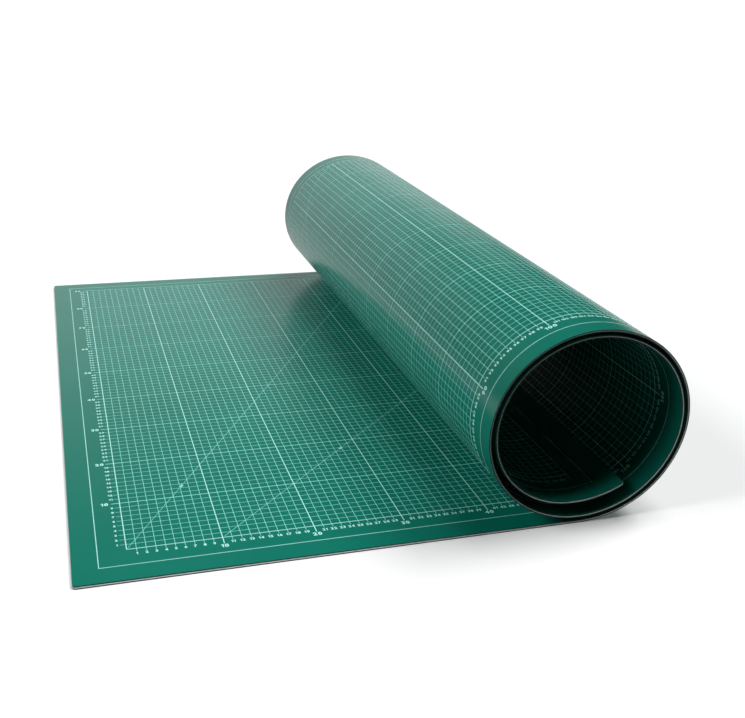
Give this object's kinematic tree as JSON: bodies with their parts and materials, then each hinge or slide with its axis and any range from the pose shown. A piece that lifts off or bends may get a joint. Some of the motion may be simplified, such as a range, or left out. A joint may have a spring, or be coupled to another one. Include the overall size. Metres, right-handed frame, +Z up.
{
  "type": "self-healing cutting mat",
  "caption": "Large laminated cutting mat with a printed centimetre grid on both faces, flat at one end and rolled into a tube at the other; it unrolls flat.",
  "frame": {"origin": "middle of the part rolled mat's footprint, on the surface that it lies on", "axes": "+X along the mat's length from the flat end to the roll, +Y from the numbered front edge to the back, +Z up"},
  "size_m": [0.671, 1, 0.2292],
  "materials": {
    "green_skin": "satin green PVC, finely grained",
    "core_sheet": "matte pale grey core, seen at the cut edge"
  },
  "bodies": {
    "flat": {"flat_under_skin": "green_skin", "flat_core": "core_sheet", "flat_top_skin": "green_skin"},
    "roll_01": {"roll_01_under_skin": "green_skin", "roll_01_core": "core_sheet", "roll_01_top_skin": "green_skin"},
    "roll_02": {"roll_02_under_skin": "green_skin", "roll_02_core": "core_sheet", "roll_02_top_skin": "green_skin"},
    "roll_03": {"roll_03_under_skin": "green_skin", "roll_03_core": "core_sheet", "roll_03_top_skin": "green_skin"},
    "roll_04": {"roll_04_under_skin": "green_skin", "roll_04_core": "core_sheet", "roll_04_top_skin": "green_skin"},
    "roll_05": {"roll_05_under_skin": "green_skin", "roll_05_core": "core_sheet", "roll_05_top_skin": "green_skin"},
    "roll_06": {"roll_06_under_skin": "green_skin", "roll_06_core": "core_sheet", "roll_06_top_skin": "green_skin"},
    "roll_07": {"roll_07_under_skin": "green_skin", "roll_07_core": "core_sheet", "roll_07_top_skin": "green_skin"},
    "roll_08": {"roll_08_under_skin": "green_skin", "roll_08_core": "core_sheet", "roll_08_top_skin": "green_skin"},
    "roll_09": {"roll_09_under_skin": "green_skin", "roll_09_core": "core_sheet", "roll_09_top_skin": "green_skin"},
    "roll_10": {"roll_10_under_skin": "green_skin", "roll_10_core": "core_sheet", "roll_10_top_skin": "green_skin"},
    "roll_11": {"roll_11_under_skin": "green_skin", "roll_11_core": "core_sheet", "roll_11_top_skin": "green_skin"},
    "roll_12": {"roll_12_under_skin": "green_skin", "roll_12_core": "core_sheet", "roll_12_top_skin": "green_skin"},
    "roll_13": {"roll_13_under_skin": "green_skin", "roll_13_core": "core_sheet", "roll_13_top_skin": "green_skin"},
    "roll_14": {"roll_14_under_skin": "green_skin", "roll_14_core": "core_sheet", "roll_14_top_skin": "green_skin"},
    "roll_15": {"roll_15_under_skin": "green_skin", "roll_15_core": "core_sheet", "roll_15_top_skin": "green_skin"},
    "roll_16": {"roll_16_under_skin": "green_skin", "roll_16_core": "core_sheet", "roll_16_top_skin": "green_skin"},
    "roll_17": {"roll_17_under_skin": "green_skin", "roll_17_core": "core_sheet", "roll_17_top_skin": "green_skin"},
    "roll_18": {"roll_18_under_skin": "green_skin", "roll_18_core": "core_sheet", "roll_18_top_skin": "green_skin"},
    "roll_19": {"roll_19_under_skin": "green_skin", "roll_19_core": "core_sheet", "roll_19_top_skin": "green_skin"}
  },
  "joints": [
    {"name": "unroll_01", "type": "hinge", "parent": "flat", "child": "roll_01", "pos_m": [0.21254, 0, 0], "axis": [0, 1, 0], "range_deg": [0, 17.15]},
    {"name": "unroll_02", "type": "hinge", "parent": "roll_01", "child": "roll_02", "pos_m": [0.28532, 0, 0.02246], "axis": [0, 1, 0], "range_deg": [0, 36.27]},
    {"name": "unroll_03", "type": "hinge", "parent": "roll_02", "child": "roll_03", "pos_m": [0.33061, 0, 0.08349], "axis": [0, 1, 0], "range_deg": [0, 39.96]},
    {"name": "unroll_04", "type": "hinge", "parent": "roll_03", "child": "roll_04", "pos_m": [0.32613, 0, 0.15917], "axis": [0, 1, 0], "range_deg": [0, 39.86]},
    {"name": "unroll_05", "type": "hinge", "parent": "roll_04", "child": "roll_05", "pos_m": [0.27406, 0, 0.21453], "axis": [0, 1, 0], "range_deg": [0, 36.32]},
    {"name": "unroll_06", "type": "hinge", "parent": "roll_05", "child": "roll_06", "pos_m": [0.19916, 0, 0.22831], "axis": [0, 1, 0], "range_deg": [0, 35.19]},
    {"name": "unroll_07", "type": "hinge", "parent": "roll_06", "child": "roll_07", "pos_m": [0.13005, 0, 0.19644], "axis": [0, 1, 0], "range_deg": [0, 38.18]},
    {"name": "unroll_08", "type": "hinge", "parent": "roll_07", "child": "roll_08", "pos_m": [0.09553, 0, 0.12887], "axis": [0, 1, 0], "range_deg": [0, 41.63]},
    {"name": "unroll_09", "type": "hinge", "parent": "roll_08", "child": "roll_09", "pos_m": [0.11459, 0, 0.05555], "axis": [0, 1, 0], "range_deg": [0, 40.16]},
    {"name": "unroll_10", "type": "hinge", "parent": "roll_09", "child": "roll_10", "pos_m": [0.17666, 0, 0.01166], "axis": [0, 1, 0], "range_deg": [0, 36.51]},
    {"name": "unroll_11", "type": "hinge", "parent": "roll_10", "child": "roll_11", "pos_m": [0.25277, 0, 0.01331], "axis": [0, 1, 0], "range_deg": [0, 36.81]},
    {"name": "unroll_12", "type": "hinge", "parent": "roll_11", "child": "roll_12", "pos_m": [0.31261, 0, 0.06015], "axis": [0, 1, 0], "range_deg": [0, 40.94]},
    {"name": "unroll_13", "type": "hinge", "parent": "roll_12", "child": "roll_13", "pos_m": [0.32706, 0, 0.13446], "axis": [0, 1, 0], "range_deg": [0, 42.95]},
    {"name": "unroll_14", "type": "hinge", "parent": "roll_13", "child": "roll_14", "pos_m": [0.28697, 0, 0.19877], "axis": [0, 1, 0], "range_deg": [0, 39.61]},
    {"name": "unroll_15", "type": "hinge", "parent": "roll_14", "child": "roll_15", "pos_m": [0.21482, 0, 0.22284], "axis": [0, 1, 0], "range_deg": [0, 37.05]},
    {"name": "unroll_16", "type": "hinge", "parent": "roll_15", "child": "roll_16", "pos_m": [0.14275, 0, 0.19858], "axis": [0, 1, 0], "range_deg": [0, 40.2]},
    {"name": "unroll_17", "type": "hinge", "parent": "roll_16", "child": "roll_17", "pos_m": [0.10352, 0, 0.13381], "axis": [0, 1, 0], "range_deg": [0, 46.44]},
    {"name": "unroll_18", "type": "hinge", "parent": "roll_17", "child": "roll_18", "pos_m": [0.12331, 0, 0.06115], "axis": [0, 1, 0], "range_deg": [0, 47.17]},
    {"name": "unroll_19", "type": "hinge", "parent": "roll_18", "child": "roll_19", "pos_m": [0.19035, 0, 0.02611], "axis": [0, 1, 0], "range_deg": [0, 39.39]}
  ],
  "couplings": [
    {"joint": "unroll_02", "follows": "unroll_01", "ratio": 2.1151},
    {"joint": "unroll_03", "follows": "unroll_01", "ratio": 2.3301},
    {"joint": "unroll_04", "follows": "unroll_01", "ratio": 2.3245},
    {"joint": "unroll_05", "follows": "unroll_01", "ratio": 2.1179},
    {"joint": "unroll_06", "follows": "unroll_01", "ratio": 2.0519},
    {"joint": "unroll_07", "follows": "unroll_01", "ratio": 2.2262},
    {"joint": "unroll_08", "follows": "unroll_01", "ratio": 2.4276},
    {"joint": "unroll_09", "follows": "unroll_01", "ratio": 2.3419},
    {"joint": "unroll_10", "follows": "unroll_01", "ratio": 2.1287},
    {"joint": "unroll_11", "follows": "unroll_01", "ratio": 2.1464},
    {"joint": "unroll_12", "follows": "unroll_01", "ratio": 2.3871},
    {"joint": "unroll_13", "follows": "unroll_01", "ratio": 2.5043},
    {"joint": "unroll_14", "follows": "unroll_01", "ratio": 2.3096},
    {"joint": "unroll_15", "follows": "unroll_01", "ratio": 2.1604},
    {"joint": "unroll_16", "follows": "unroll_01", "ratio": 2.3438},
    {"joint": "unroll_17", "follows": "unroll_01", "ratio": 2.7081},
    {"joint": "unroll_18", "follows": "unroll_01", "ratio": 2.7504},
    {"joint": "unroll_19", "follows": "unroll_01", "ratio": 2.2968}
  ]
}
